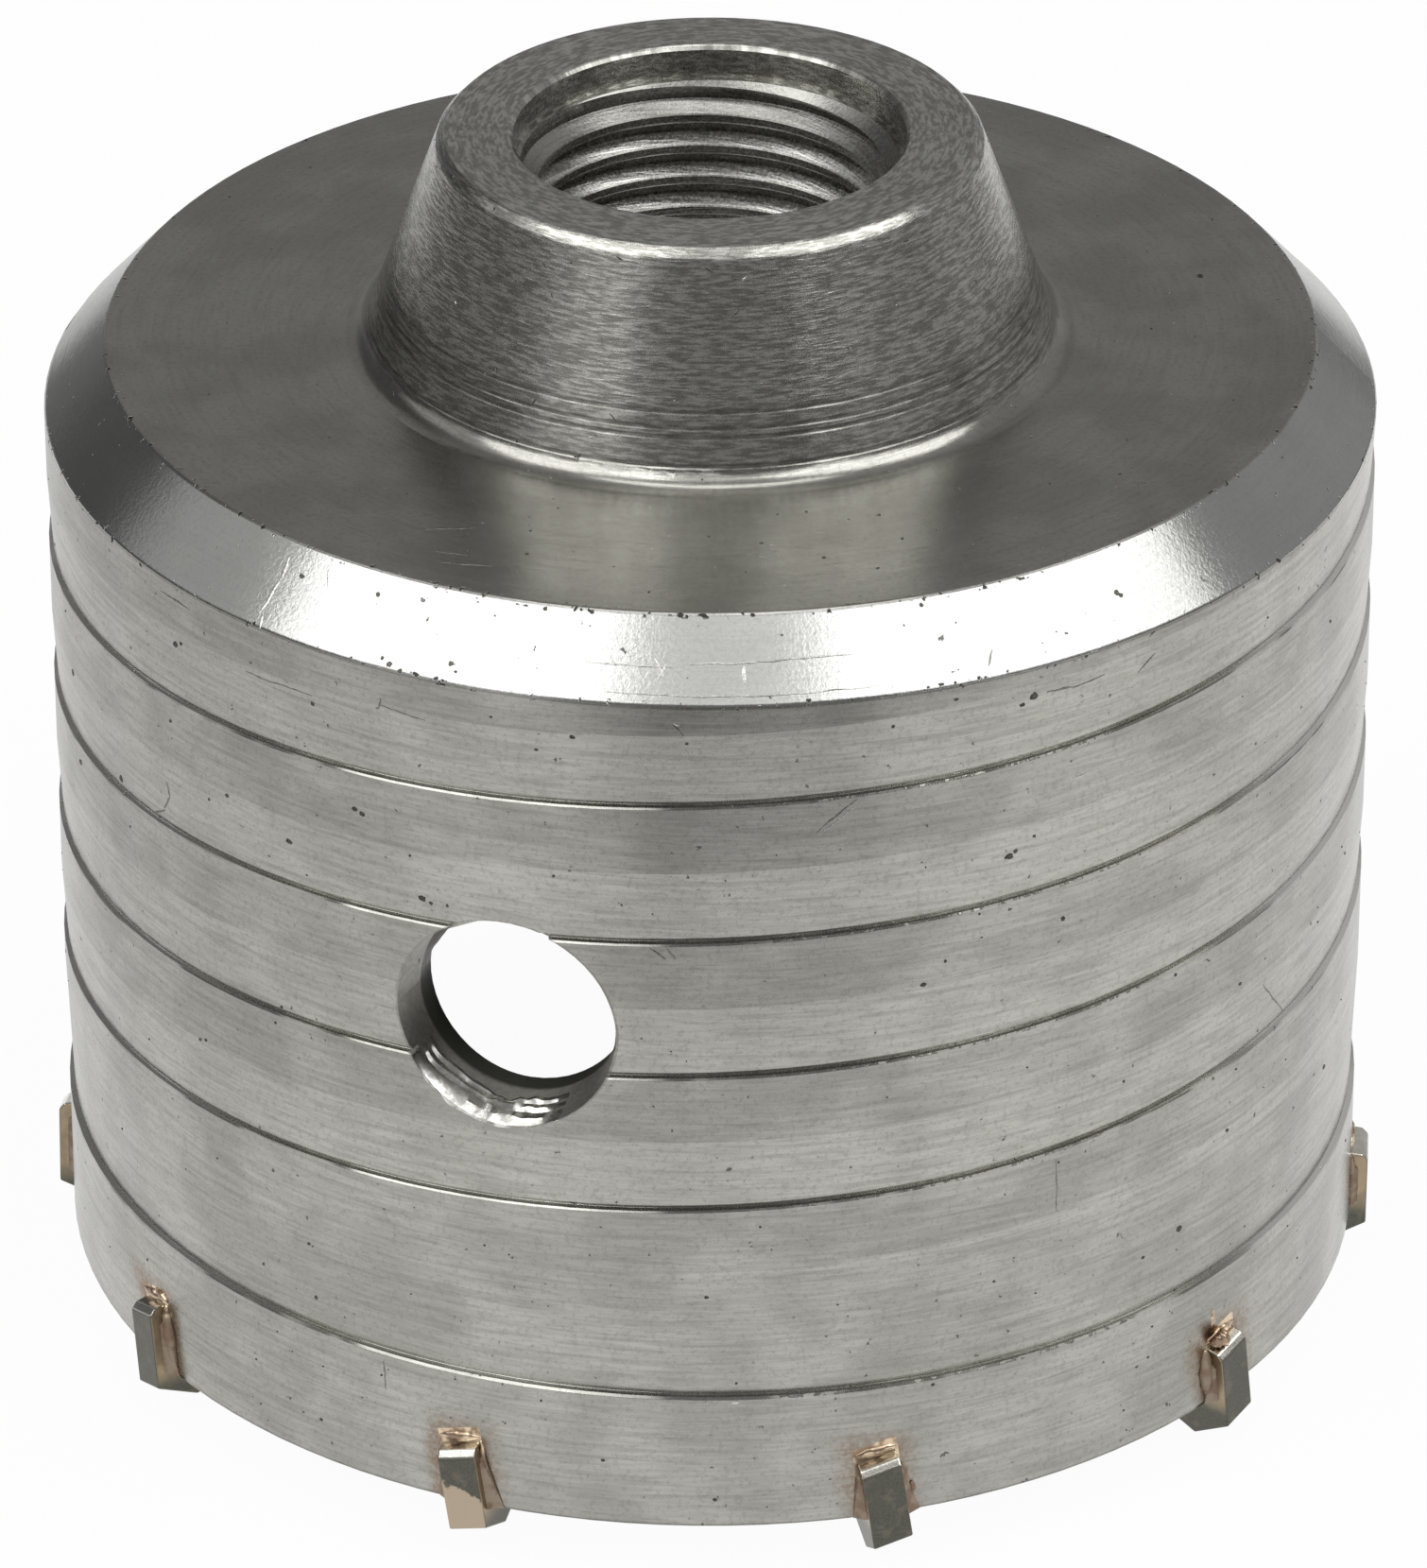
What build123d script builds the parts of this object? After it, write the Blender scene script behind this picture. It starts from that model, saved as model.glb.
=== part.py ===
from build123d import *
from math import cos, radians, sin, tan
import os

# A hole saw for masonry: a turned steel cup with a tapered threaded hub, a helical groove round
# its wall and a ring of carbide tips brazed into slots in the rim. Sizes are in millimetres.
# The saw's axis is Z, and z = 0 is the plane that the lowest points of the tips stand on.
# Angles are seen from above, anticlockwise from +X, and the side hole looks towards -Y.

# Carbide tips
tip_count = 10
cutting_diameter = 80.0
first_tip_angle = -75.55
tip_width = 2.4
tip_proud_outside = 1.0
tip_proud_inside = 0.8
tip_proud_below = 3.3
tip_seat_height = 3.95
tip_lean = 8.5
tip_relief = 6.5
tip_ridge_inset = 2.6
tip_outer_slope = 31.0
tip_inner_slope = 25.0
tip_top_bevel = 1.0
tip_top_bevel_slope = 9.0

# Tips that are worn in use: how much of its ridge each has lost, and how much its corners have lost
worn_tips = (8, 9, 10)
ridge_wear = 0.65
corner_wear = 0.2

# Braze that fills the slot round each tip, with a fillet up each side that narrows towards its top
braze_side_gap = 0.15
braze_top_gap = 1.0
braze_fillet_width = 0.6
braze_fillet_height = 0.45
braze_fillet_drop = 0.3

# Cup
wall = 4.7
wall_height = 54.05
shoulder_width = 3.68
shoulder_height = 3.93
plate_thickness = 7.0
cavity_corner_chamfer = 1.5

# Hub
hub_height = 12.7
hub_base_radius = 20.35
hub_top_radius = 15.87
hub_top_chamfer = 0.5
hub_base_fillet = 1.6

# Arbor thread, kept as a plain bore of its nominal diameter, and the recess above it
thread_diameter = 22.0
recess_radial_clearance = 0.41
recess_depth = 2.0
recess_chamfer = 0.25

# Grooves in the wall: a narrow cut with a long shallow taper above it
groove_width = 0.25
groove_depth = 0.36
helix_pitch = 8.77
helix_taper_height = 4.4
helix_taper_depth = 0.22
helix_front_drop = 6.19
helix_turns_above_front = 0.72
helix_turns_below_front = 3.5
ring_height_above_rim = 8.96
ring_taper_height = 8.8
ring_taper_depth = 0.3

# Side hole for levering the core out, flared through the outer part of the wall
side_hole_diameter = 12.2
side_hole_flare = 0.5
side_hole_flare_depth = 3.2
side_hole_angle = -107.6
side_hole_drop = 21.4

# How far a cutting shape reaches past the face that it cuts, and a taper past the wall's surface
overrun = 0.4
taper_overshoot = 0.1

# Places worked out from the sizes above
front_angle = -90.0
outer_radius = cutting_diameter / 2 - tip_proud_outside
inner_radius = outer_radius - wall
tip_outer_radius = cutting_diameter / 2
tip_inner_radius = inner_radius - tip_proud_inside
rim_z = tip_proud_below
shoulder_z = rim_z + wall_height
plate_z = shoulder_z + shoulder_height
ceiling_z = plate_z - plate_thickness
hub_z = plate_z + hub_height
thread_radius = thread_diameter / 2
recess_radius = thread_radius + recess_radial_clearance
recess_floor_z = hub_z - recess_depth
braze_width = tip_width + 2 * braze_side_gap
tip_top_z = rim_z + tip_seat_height
tip_reach = 2 * (tip_top_z + braze_top_gap)


def section(points):
    """A closed outline of (radius, z) points in the plane through the axis."""
    return make_face(Polyline(*points, close=True))


def corner(face, point):
    """The corner of a section nearest a (radius, z) point."""
    return face.vertices().sort_by_distance((point[0], point[1], 0))[0]


def turned(face):
    """A (radius, z) section turned round the axis."""
    return revolve(Plane.XZ * face, axis=Axis.Z)


def groove_section(line_z, taper_height, taper_depth):
    """The cutter for one groove: the cut itself and the taper above it."""
    low = line_z - groove_width / 2
    high = line_z + groove_width / 2
    taper_slope = taper_depth / (line_z + taper_height - high)
    taper_end = line_z + taper_height + taper_overshoot / taper_slope
    return section([
        (outer_radius + overrun, low),
        (outer_radius - groove_depth, low),
        (outer_radius - groove_depth, high),
        (outer_radius - taper_depth, high),
        (outer_radius + taper_overshoot, taper_end),
        (outer_radius + overrun, taper_end),
    ])


def helical_cutter():
    """The groove that climbs the wall and runs out over the shoulder."""
    turns = helix_turns_below_front + helix_turns_above_front
    start_z = shoulder_z - helix_front_drop - helix_turns_below_front * helix_pitch
    start_angle = front_angle - 360 * helix_turns_below_front
    path = Helix(helix_pitch, turns * helix_pitch, outer_radius, center=(0, 0, start_z))
    profile = Plane.XZ * groove_section(start_z, helix_taper_height, helix_taper_depth)
    return Rot(Z=start_angle) * sweep(profile, path=path, is_frenet=True)


def ring_cutter():
    """The flat groove that closes the helix above the tips."""
    return turned(groove_section(rim_z + ring_height_above_rim, ring_taper_height, ring_taper_depth))


def side_hole_cutter():
    """A round hole through one side of the wall, flared towards the outside."""
    straight = side_hole_diameter / 2
    start = inner_radius - wall
    flare_start = outer_radius - side_hole_flare_depth
    end = outer_radius + overrun
    flared = straight + side_hole_flare / side_hole_flare_depth * (end - flare_start)
    drill = turned(section([(0, start), (straight, start), (straight, flare_start), (flared, end), (0, end)]))
    return Rot(Z=side_hole_angle) * Pos(0, 0, shoulder_z - side_hole_drop) * Rot(Y=90) * drill


def leaning(shape, angle):
    """A shape at the tip's seat turned about the radius through the tip."""
    pivot = Pos(0, 0, rim_z + tip_seat_height / 2)
    return pivot * Rot(X=angle) * pivot.inverse() * shape


def slab(width):
    """The leaning slab of a given width that holds the tip's two side faces."""
    middle = Pos((tip_outer_radius + tip_inner_radius) / 2, 0, rim_z)
    return leaning(middle * Box(tip_reach, width, tip_reach), tip_lean)


def tilted_prism(points):
    """An outline of (radius, z) points run sideways, with the relief of the tips' cutting edges."""
    prism = extrude(Plane.XZ * section(points), amount=tip_reach / 2, both=True)
    return leaning(prism, tip_lean + tip_relief)


def tip(ridge_loss, corner_loss):
    """One carbide tip on the +X side: a leaning block with a roof-shaped cutting end."""
    lean = radians(tip_lean)
    relief = radians(tip_relief)
    pivot_z = rim_z + tip_seat_height / 2
    corner_drop = tip_width / 2 * (sin(lean) + tan(relief) * cos(lean))
    sharp_z = pivot_z - (pivot_z - corner_drop) * cos(relief) / cos(lean)
    ridge_radius = tip_outer_radius - tip_ridge_inset
    corner_z = sharp_z + corner_loss
    outer_rise = tip_ridge_inset * tan(radians(tip_outer_slope))
    inner_rise = (ridge_radius - tip_inner_radius) * tan(radians(tip_inner_slope))
    bevel_drop = tip_top_bevel * tan(radians(tip_top_bevel_slope))
    roof = tilted_prism([
        (tip_inner_radius, tip_top_z),
        (tip_outer_radius - tip_top_bevel, tip_top_z),
        (tip_outer_radius, tip_top_z - bevel_drop),
        (tip_outer_radius, corner_z + outer_rise),
        (ridge_radius, sharp_z + ridge_loss),
        (tip_inner_radius, corner_z + inner_rise),
    ])
    return roof & slab(tip_width)


def slot_cutter():
    """The slot in the rim that one tip is brazed into."""
    top = tip_top_z + braze_top_gap
    low = rim_z - tip_proud_below
    inside = tip_inner_radius - overrun
    outside = tip_outer_radius + overrun
    block = tilted_prism([(inside, low), (outside, low), (outside, top), (inside, top)])
    return block & slab(braze_width)


def braze_fillets():
    """The braze in both corners between a tip's sides and the wall, wide at the rim and narrow above."""
    foot = outer_radius - braze_fillet_height
    crest = outer_radius + braze_fillet_height
    low = rim_z - tip_proud_below
    top = tip_top_z - braze_fillet_drop
    crest_top = top - 2 * braze_fillet_height
    crest_half = tip_width / 2
    foot_half = crest_half + 2 * (braze_side_gap + braze_fillet_width)
    plan = make_face(Polyline(
        (foot, -foot_half), (crest, -crest_half), (crest, crest_half), (foot, foot_half), close=True))
    front = make_face(Polyline(
        (-foot_half, low), (foot_half, low), (crest_half, top), (-crest_half, top), close=True))
    column = Pos(0, 0, rim_z) * extrude(plan, amount=tip_reach / 2, both=True)
    wedge = extrude(Plane.YZ * front, amount=cutting_diameter)
    return leaning(column & wedge, tip_lean) & tilted_prism([
        (foot, low), (crest, low), (crest, crest_top), (foot, top)])


def tube(inside, outside):
    """A straight tube on the axis from the rim to the shoulder."""
    return turned(section([(inside, rim_z), (outside, rim_z), (outside, shoulder_z), (inside, shoulder_z)]))


def braze(one_tip):
    """The braze round one tip: what fills its slot, and the fillets outside."""
    filling = tube(inner_radius, outer_radius) & slot_cutter()
    fillets = tube(outer_radius, cutting_diameter) & braze_fillets()
    return filling + fillets - one_tip


def body():
    """The turned cup and hub, with its slots, grooves and side hole."""
    hub_base = (hub_base_radius, plate_z)
    cavity_corner = (inner_radius, ceiling_z)
    outline = section([
        (outer_radius, rim_z),
        (outer_radius, shoulder_z),
        (outer_radius - shoulder_width, plate_z),
        hub_base,
        (hub_top_radius, hub_z - hub_top_chamfer),
        (hub_top_radius - hub_top_chamfer, hub_z),
        (recess_radius + recess_chamfer, hub_z),
        (recess_radius, hub_z - recess_chamfer),
        (recess_radius, recess_floor_z),
        (thread_radius, recess_floor_z),
        (thread_radius, ceiling_z),
        cavity_corner,
        (inner_radius, rim_z),
    ])
    outline = fillet(corner(outline, hub_base), hub_base_fillet)
    outline = chamfer(corner(outline, cavity_corner), cavity_corner_chamfer)
    cup = turned(outline)
    cup -= helical_cutter()
    cup -= ring_cutter()
    cup -= side_hole_cutter()
    slot = slot_cutter()
    for angle in tip_angles():
        cup -= Rot(Z=angle) * slot
    return cup


def tip_angles():
    """The angle of each tip round the rim."""
    return [first_tip_angle + 360 / tip_count * number for number in range(tip_count)]


def write(shape, name):
    """One STEP file for one node."""
    export_step(shape, f"parts/{name}.step")


os.makedirs("parts", exist_ok=True)
write(body(), "body")
fresh_tip = tip(0.0, 0.0)
worn_tip = tip(ridge_wear, corner_wear)
for number, angle in enumerate(tip_angles(), start=1):
    one_tip = worn_tip if number in worn_tips else fresh_tip
    write(Rot(Z=angle) * one_tip, f"tip_{number:02d}")
    write(Rot(Z=angle) * braze(one_tip), f"braze_{number:02d}")
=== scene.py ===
import math
import random

import bmesh
import bpy
from mathutils import Matrix, Vector, noise


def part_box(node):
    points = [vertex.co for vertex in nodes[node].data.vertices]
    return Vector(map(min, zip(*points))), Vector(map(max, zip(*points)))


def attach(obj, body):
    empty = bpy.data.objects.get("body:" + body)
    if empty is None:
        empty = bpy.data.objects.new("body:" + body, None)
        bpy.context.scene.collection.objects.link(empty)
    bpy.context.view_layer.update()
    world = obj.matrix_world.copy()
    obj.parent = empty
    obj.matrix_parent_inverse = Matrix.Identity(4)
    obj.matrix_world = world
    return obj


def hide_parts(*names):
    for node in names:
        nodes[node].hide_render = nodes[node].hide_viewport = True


# The looks of a masonry hole saw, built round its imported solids. Blender's units are metres.
# Shader nodes read the object's own coordinates and turn them into millimetres.
# Angles are in degrees, anticlockwise from +X seen from above. The photograph looks from -Y.

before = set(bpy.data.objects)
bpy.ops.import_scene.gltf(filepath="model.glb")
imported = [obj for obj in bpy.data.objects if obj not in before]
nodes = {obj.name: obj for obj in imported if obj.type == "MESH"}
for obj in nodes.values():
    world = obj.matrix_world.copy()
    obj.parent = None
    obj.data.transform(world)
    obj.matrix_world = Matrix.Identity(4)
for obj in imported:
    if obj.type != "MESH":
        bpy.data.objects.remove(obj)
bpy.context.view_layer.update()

MM = 0.001
# Corners nearer than this are one, in metres, and faces that meet at less than this are one, in degrees
SAME_CORNER = 1e-6
SAME_FACE = 2.0
# Creases sharper than this stay sharp when a piece is shaded smooth, in degrees
SHARP_ANGLE = 25.0
WHITE = (1.0, 1.0, 1.0, 1.0)

# Sizes in millimetres, the same as the solids'
body_low, body_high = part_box("body")
WALL_RADIUS = body_high.x / MM
HUB_Z = body_high.z / MM
RIM_Z = body_low.z / MM
THREAD_RADIUS = 11.0
SHOULDER_Z = RIM_Z + 54.05
PLATE_Z = SHOULDER_Z + 3.93
PLATE_RADIUS = WALL_RADIUS - 3.68
HUB_BASE_RADIUS = 20.35
HUB_TOP_RADIUS = 15.87
RECESS_RADIUS = 11.41
RECESS_FLOOR_Z = HUB_Z - 2.0
CEILING_Z = PLATE_Z - 7.0
TIP_COUNT = 10
FIRST_TIP_ANGLE = -75.55
TIP_WIDTH = 2.4
TIP_SEAT = 3.95
TIP_LEAN = 8.5
BRAZE_TOP = 4.95

# Grooves in the wall
PITCH = 8.77
HELIX_Z = SHOULDER_Z - 6.19
RING_Z = RIM_Z + 8.96
GROOVE_HALF = 0.125
GROOVE_DEPTH = 0.36
TAPER_DEPTH = 0.22
TAPER_END = 4.4
RING_TAPER_DEPTH = 0.3
RING_TAPER_END = 8.8
TAPER_SLOPE = TAPER_DEPTH / (TAPER_END - GROOVE_HALF)
RING_TAPER_SLOPE = RING_TAPER_DEPTH / (RING_TAPER_END - GROOVE_HALF)

# Side hole: its radius at the outer face and in its straight part, and where its flare starts
HOLE_ANGLE = -107.6
HOLE_RADIUS = 6.6
HOLE_STRAIGHT = 6.1
HOLE_FLARE_START = WALL_RADIUS - 3.2
HOLE_Z = SHOULDER_Z - 21.4

# Camera, in metres and degrees, and the photograph's size in pixels
PHOTO_WIDTH = 1510
PHOTO_HEIGHT = 1659
SENSOR = 36.0
FOCAL_PIXELS = 10562.68
CAMERA_DISTANCE = 0.58555
CAMERA_ELEVATION = 27.0254
CAMERA_PITCH = 2.2808
CAMERA_YAW = 0.0120
CAMERA_ROLL = -0.1315
CLIP_START = 0.01
CLIP_END = 20.0


def make_camera():
    """The camera at the photograph's place, aimed as the photograph is."""
    data = bpy.data.cameras.new("camera")
    camera = shown("camera", data)
    bpy.context.scene.camera = camera
    data.sensor_fit = "AUTO"
    data.sensor_width = SENSOR
    data.lens = FOCAL_PIXELS * SENSOR / max(PHOTO_WIDTH, PHOTO_HEIGHT)
    data.clip_start = CLIP_START
    data.clip_end = CLIP_END
    target = Vector((0, 0, SHOULDER_Z * MM))
    elevation = math.radians(CAMERA_ELEVATION)
    away = Vector((0, -math.cos(elevation), math.sin(elevation)))
    camera.location = target + away * CAMERA_DISTANCE
    forward = -away
    right = Vector((1, 0, 0))
    up = right.cross(forward)
    pitch = math.radians(CAMERA_PITCH)
    tilted = math.cos(pitch) * forward - math.sin(pitch) * up
    up = math.sin(pitch) * forward + math.cos(pitch) * up
    yaw = math.radians(CAMERA_YAW)
    aim = math.cos(yaw) * tilted + math.sin(yaw) * right
    side = math.cos(yaw) * right - math.sin(yaw) * tilted
    roll = math.radians(CAMERA_ROLL)
    side, up = (math.cos(roll) * side + math.sin(roll) * up,
                math.cos(roll) * up - math.sin(roll) * side)
    camera.matrix_world = matrix_from_axes(side, up, -aim, camera.location)


def matrix_from_axes(x_axis, y_axis, z_axis, place):
    """A placement matrix whose columns are the three axes and the place."""
    columns = [x_axis.to_4d(), y_axis.to_4d(), z_axis.to_4d(), place.to_4d()]
    for column in columns[:3]:
        column.w = 0.0
    return Matrix(columns).transposed()


def polar(angle, radius, z):
    """A point in millimetres from its angle in degrees, radius and height."""
    turn = math.radians(angle)
    return Vector((radius * math.cos(turn), radius * math.sin(turn), z))


class Graph:
    """Short calls that add and join the nodes of one material."""

    def __init__(self, tree):
        self.tree = tree
        tree.nodes.clear()

    def node(self, kind, inputs=None, **settings):
        made = self.tree.nodes.new(kind)
        for setting, value in settings.items():
            setattr(made, setting, value)
        for socket, value in (inputs or {}).items():
            self.join(value, made.inputs[socket])
        return made

    def join(self, value, socket):
        if isinstance(value, bpy.types.NodeSocket):
            self.tree.links.new(value, socket)
        else:
            socket.default_value = value

    def math(self, operation, a, b=0.0, c=0.0, clamp=False):
        made = self.node("ShaderNodeMath", {0: a, 1: b, 2: c}, operation=operation, use_clamp=clamp)
        return made.outputs[0]

    def vector(self, operation, a, b=(0, 0, 0), scale=1.0):
        made = self.node("ShaderNodeVectorMath", {0: a, 1: b, 3: scale}, operation=operation)
        return made.outputs[1 if operation in ("LENGTH", "DISTANCE", "DOT_PRODUCT") else 0]

    def combine(self, x, y, z):
        return self.node("ShaderNodeCombineXYZ", {0: x, 1: y, 2: z}).outputs[0]

    def separate(self, value):
        return self.node("ShaderNodeSeparateXYZ", {0: value}).outputs

    def noise(self, vector, scale=1.0, detail=2.0, roughness=0.5, distortion=0.0):
        made = self.node("ShaderNodeTexNoise", {"Vector": vector, "Scale": scale, "Detail": detail,
                                                "Roughness": roughness, "Distortion": distortion})
        return made.outputs["Fac"]

    def fade(self, value, low, high, start=0.0, end=1.0):
        """start where the value is low, end where it is high, smooth in between."""
        limits = {"Value": value, "From Min": low, "From Max": high, "To Min": start, "To Max": end}
        made = self.node("ShaderNodeMapRange", limits, interpolation_type="SMOOTHSTEP")
        return made.outputs["Result"]

    def band(self, value, low, high, soft):
        """1 between low and high, falling to 0 over a soft width on both sides."""
        rise = self.fade(value, low - soft, low)
        return self.math("MULTIPLY", rise, self.fade(value, high, high + soft, 1.0, 0.0))

    def both(self, *masks):
        """The product of masks, so 1 only where all are 1."""
        result = masks[0]
        for mask in masks[1:]:
            result = self.math("MULTIPLY", result, mask)
        return result

    def either(self, *masks):
        """The highest of masks."""
        result = masks[0]
        for mask in masks[1:]:
            result = self.math("MAXIMUM", result, mask)
        return result

    def mix(self, factor, a, b):
        made = self.node("ShaderNodeMix", {0: factor, 2: a, 3: b}, data_type="FLOAT")
        return made.outputs[0]

    def blend(self, factor, a, b):
        made = self.node("ShaderNodeMix", {0: factor, 6: a, 7: b}, data_type="RGBA")
        return made.outputs[2]

    def coat(self, base, *layers):
        """A colour under layers, each a mask and its red, green and blue as seen on a screen."""
        for mask, shade in layers:
            base = self.blend(mask, base, colour(*shade))
        return base

    def bump(self, height, strength, distance, normal=None):
        made = self.node("ShaderNodeBump", {"Height": height, "Strength": strength, "Distance": distance})
        if normal is not None:
            self.join(normal, made.inputs["Normal"])
        return made.outputs["Normal"]

    def lean(self, normal, direction, amount):
        """The normal leant towards a direction by an amount."""
        pull = self.vector("SCALE", direction, scale=amount)
        return self.vector("NORMALIZE", self.vector("ADD", normal, pull))

    def sum(self, *parts):
        """The sum of values, each given with its weight."""
        total = 0.0
        for value, weight in parts:
            total = self.math("MULTIPLY_ADD", value, weight, total)
        return total

    def finish(self, shader, base, roughness, normal, metallic=1.0):
        """Joins a metal's colour, roughness and normal to its shader."""
        sockets = {"Base Color": base, "Metallic": metallic, "Roughness": roughness, "Normal": normal}
        for socket, value in sockets.items():
            self.join(value, shader.inputs[socket])


class Turned:
    """Coordinates of a turned piece in millimetres: its radius, height and angle, and one that
    crosses its turning marks."""

    def __init__(self, graph):
        place = graph.node("ShaderNodeTexCoord").outputs["Object"]
        self.point = graph.vector("SCALE", place, scale=1 / MM)
        self.x, self.y, self.z = graph.separate(self.point)
        flat = graph.combine(self.x, self.y, 0.0)
        self.radius = graph.vector("LENGTH", flat)
        self.around = graph.vector("NORMALIZE", flat)
        self.cos, self.sin = graph.separate(self.around)[:2]
        self.across = graph.math("SUBTRACT", self.z, self.radius)
        self.graph = graph

    def marks(self, along, across, detail=2.0, roughness=0.5, shift=0.0):
        """Noise drawn out round the axis: along sets the marks' length, across their fineness."""
        graph = self.graph
        x = graph.math("MULTIPLY", self.cos, along)
        y = graph.math("MULTIPLY_ADD", self.sin, along, shift)
        z = graph.math("MULTIPLY", self.across, across)
        return graph.noise(graph.combine(x, y, z), 1.0, detail, roughness)

    def turn(self):
        """The angle round the axis in degrees."""
        return self.graph.math("MULTIPLY", self.graph.math("ARCTAN2", self.y, self.x), 180 / math.pi)

    def climb(self, turn):
        """How far a point lies above the helical groove's centre line, from 0 to one pitch."""
        graph = self.graph
        rise = graph.math("MULTIPLY_ADD", turn, PITCH / 360, HELIX_Z + PITCH / 4)
        return graph.math("FLOORED_MODULO", graph.math("SUBTRACT", self.z, rise), PITCH)


def empty_material(name):
    """A material with an empty graph, and the socket that takes its shader."""
    material = bpy.data.materials.new(name)
    material.use_nodes = True
    graph = Graph(material.node_tree)
    return material, graph, graph.node("ShaderNodeOutputMaterial").inputs["Surface"]


def new_material(name):
    """A material with its graph and its principled shader."""
    material, graph, surface = empty_material(name)
    shader = graph.node("ShaderNodeBsdfPrincipled")
    graph.join(shader.outputs["BSDF"], surface)
    return material, graph, shader


def colour(red, green, blue):
    """A colour from its red, green and blue as seen on a screen, 0 to 255."""
    def linear(value):
        value = value / 255
        return value / 12.92 if value <= 0.04045 else ((value + 0.055) / 1.055) ** 2.4
    return (linear(red), linear(green), linear(blue), 1.0)


# Pits that the photograph shows, and a few at the back: angle, radius, height and size
PITS = [
    (-62.5, 39, 55.58, 0.36), (-63.6, 39, 55.2, 0.2), (-69.6, 39, 56.49, 0.14), (-75.0, 39, 55.37, 0.15),
    (-141.2, 39, 53.49, 0.28), (-140.4, 39, 53.75, 0.18), (-162.3, 39, 44.8, 0.3), (-160.8, 39, 39.4, 0.25),
    (-151.5, 39, 41.45, 0.3), (-137.3, 39, 44.53, 0.16), (-134.9, 39, 45.44, 0.2), (-127.9, 39, 44.2, 0.24),
    (-120.2, 39, 47.66, 0.24), (-120.9, 39, 47.85, 0.2), (-125.0, 39, 53.75, 0.2), (-101.4, 39, 55.08, 0.18),
    (-114.8, 39, 43.08, 0.28), (-114.0, 39, 42.9, 0.16), (-112.5, 39, 42.95, 0.15), (-103.1, 39, 46.07, 0.15),
    (-139.4, 39, 28.0, 0.16), (-138.6, 39, 28.2, 0.14), (-129.4, 39, 32.88, 0.12), (-64.6, 39, 45.65, 0.28),
    (-64.0, 39, 45.9, 0.2), (-62.3, 39, 46.58, 0.15), (-67.3, 39, 42.4, 0.12), (-72.2, 39, 38.48, 0.22),
    (-70.3, 39, 39.77, 0.16), (-59.4, 39, 40.69, 0.2), (-21.4, 39, 19.3, 0.22), (-45.6, 39, 16.47, 0.34),
    (-49.9, 39, 15.69, 0.15), (-65.4, 39, 17.64, 0.12), (-59.4, 39, 24.56, 0.12), (-126.4, 39, 14.03, 0.2),
    (-132.4, 39, 14.74, 0.15), (-125.9, 39, 5.88, 0.15), (-104.7, 39, 11.1, 0.12), (-99.4, 39, 7.5, 0.14),
    (-71.0, 39, 11.6, 0.15), (-49.3, 39, 8.76, 0.12), (62.0, 39, 41.0, 0.25), (118.0, 39, 24.0, 0.3),
    (171.0, 39, 33.0, 0.2), (20.0, 39, 47.0, 0.22),
    (-120.8, 36.26, 60.27, 0.2), (-112.2, 38.21, 58.19, 0.2), (-111.6, 38.5, 57.9, 0.12),
    (-117.5, 38.77, 57.6, 0.22), (-118.3, 38.6, 57.8, 0.16), (-116.4, 38.9, 57.45, 0.18),
    (-105.0, 35.53, 61.06, 0.2), (-128.8, 36.53, 59.99, 0.2), (-52.3, 37.14, 59.34, 0.24),
    (-52.0, 37.3, 59.2, 0.18), (-70.9, 35.67, 60.91, 0.18), (-12.4, 35.5, 61.08, 0.16),
    (40.0, 37.0, 59.5, 0.2), (140.0, 36.4, 60.1, 0.2),
    (-39.0, 29.9, 61.28, 0.16), (-77.6, 29.47, 61.28, 0.16), (12.6, 29.62, 61.28, 0.3),
    (-68.2, 25.52, 61.28, 0.14), (-68.0, 28.65, 61.28, 0.14), (-110.0, 30.1, 61.28, 0.12),
    (-96.0, 33.0, 61.28, 0.12), (-84.0, 27.2, 61.28, 0.12), (75.0, 30.0, 61.28, 0.2),
]
# Scratches: the angle, radius and height of both ends, and a width. Dark ones are cut and bright ones raised.
DARK_STROKES = [
    ((-61.3, 39, 55.67), (-58.9, 39, 55.51), 0.12), ((-58.9, 39, 55.51), (-55.6, 39, 55.56), 0.1),
    ((-143.3, 39, 43.9), (-142.9, 39, 42.95), 0.12), ((-142.9, 39, 42.95), (-143.8, 39, 41.85), 0.12),
    ((-143.8, 39, 41.85), (-145.7, 39, 41.03), 0.1), ((-77.9, 39, 51.02), (-81.5, 39, 49.22), 0.1),
    ((-34.8, 39, 29.69), (-30.9, 39, 26.43), 0.1), ((-119.3, 39, 11.46), (-119.3, 39, 9.52), 0.1),
    ((-59.7, 39, 24.81), (-59.5, 39, 21.27), 0.08), ((-95.1, 39, 41.92), (-93.7, 39, 41.28), 0.11),
    ((-93.7, 39, 41.95), (-92.9, 39, 41.24), 0.11), ((-132.2, 39, 54.21), (-125.0, 39, 54.36), 0.08),
    ((-118.4, 39, 55.03), (-114.1, 39, 54.85), 0.09), ((-118.2, 39, 55.48), (-118.4, 39, 54.73), 0.09),
    ((-52.1, 39, 54.97), (-50.4, 39, 55.9), 0.1), ((-93.1, 39, 56.2), (-92.2, 39, 55.6), 0.14),
    ((-143.0, 39, 56.43), (-139.0, 39, 56.33), 0.1), ((-65.6, 37.9, 58.5), (-66.4, 38.5, 57.9), 0.1),
    ((-117.4, 32.94, 61.28), (-112.3, 32.24, 61.28), 0.12),
    ((-118.8, 31.9, 61.28), (-115.6, 31.5, 61.28), 0.1),
    ((-122.4, 29.9, 61.28), (-117.8, 28.4, 61.28), 0.12), ((80.0, 39, 30.0), (86.0, 39, 29.0), 0.1),
]
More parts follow.
